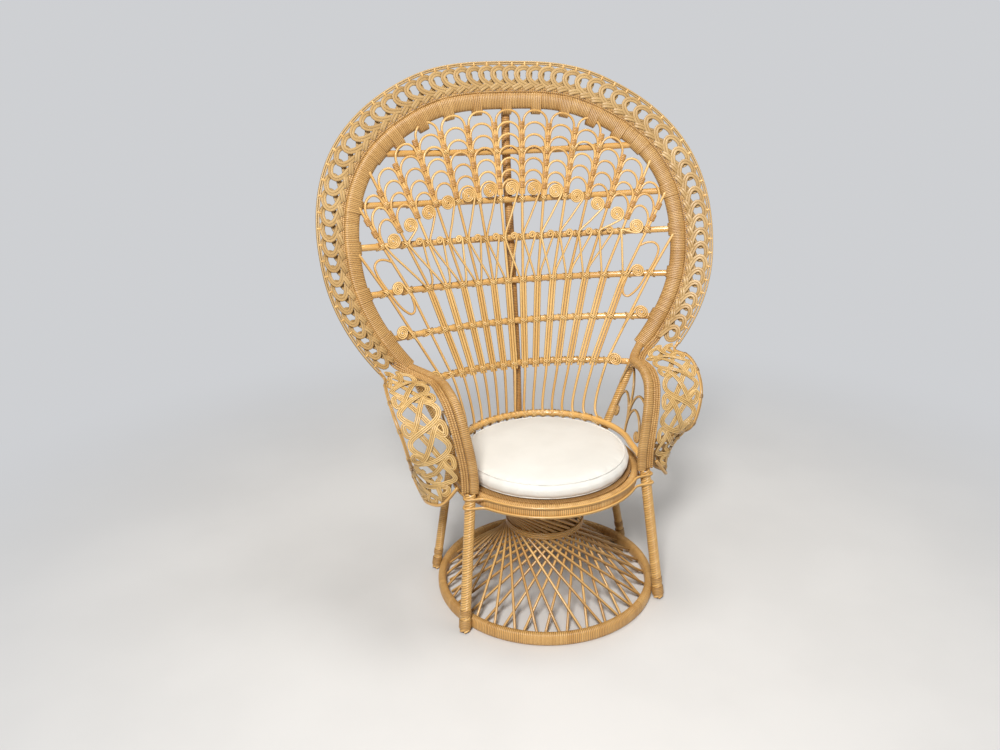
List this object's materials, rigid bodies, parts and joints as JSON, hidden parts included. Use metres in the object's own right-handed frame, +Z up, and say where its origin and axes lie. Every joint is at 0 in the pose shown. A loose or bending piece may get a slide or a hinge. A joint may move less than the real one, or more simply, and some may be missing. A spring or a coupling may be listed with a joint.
{
  "type": "peacock chair",
  "caption": "High-backed wicker peacock chair with a fan of scrolled reeds in a wrapped hoop, a looped border, rolled arms, a round cushion and an hourglass base.",
  "frame": {"origin": "middle of the chair's bounding box, at floor level", "axes": "+Z up, +Y towards the chair's back, +X towards the sitter's left hand"},
  "size_m": [1.1682, 0.7234, 1.5021],
  "materials": {
    "rattan": "semi-gloss varnish",
    "pale_rattan": "semi-gloss varnish",
    "dark_rattan": "semi-gloss varnish",
    "cushion_cloth": "matt"
  },
  "bodies": {
    "root": {"floor_ring": "rattan", "base_rods_outer": "pale_rattan", "base_rods_inner": "pale_rattan", "seat_ring": "rattan", "seat_panel": "rattan", "cushion": "cushion_cloth", "front_leg_left": "rattan", "rear_leg_left": "rattan", "rear_post_left": "rattan", "arm_left": "rattan", "arm_edge_left": "dark_rattan", "arm_arches_left": "pale_rattan", "wing_left": "pale_rattan", "front_leg_right": "rattan", "rear_leg_right": "rattan", "rear_post_right": "rattan", "arm_right": "rattan", "arm_edge_right": "dark_rattan", "arm_arches_right": "pale_rattan", "wing_right": "pale_rattan", "main_hoop": "rattan", "hoop_trim": "dark_rattan", "outer_rim": "pale_rattan", "border_loops_1": "pale_rattan", "border_loops_2": "pale_rattan", "border_loops_3": "pale_rattan", "border_loops_4": "pale_rattan", "border_loops_5": "pale_rattan", "border_loops_6": "pale_rattan", "rail_1": "rattan", "rail_2": "rattan", "rail_3": "rattan", "rail_4": "rattan", "rail_5": "rattan", "rail_6": "rattan", "seat_rail": "rattan", "centre_post": "dark_rattan", "stake_1": "pale_rattan", "stake_2": "pale_rattan", "stake_3": "pale_rattan", "stake_4": "pale_rattan", "stake_5": "pale_rattan", "stake_6": "pale_rattan", "stake_7": "pale_rattan", "stake_8": "pale_rattan", "stake_9": "pale_rattan", "stake_10": "pale_rattan", "stake_11": "pale_rattan", "stake_12": "pale_rattan", "stake_13": "pale_rattan", "stake_14": "pale_rattan", "stake_15": "pale_rattan", "stake_16": "pale_rattan"}
  },
  "joints": []
}
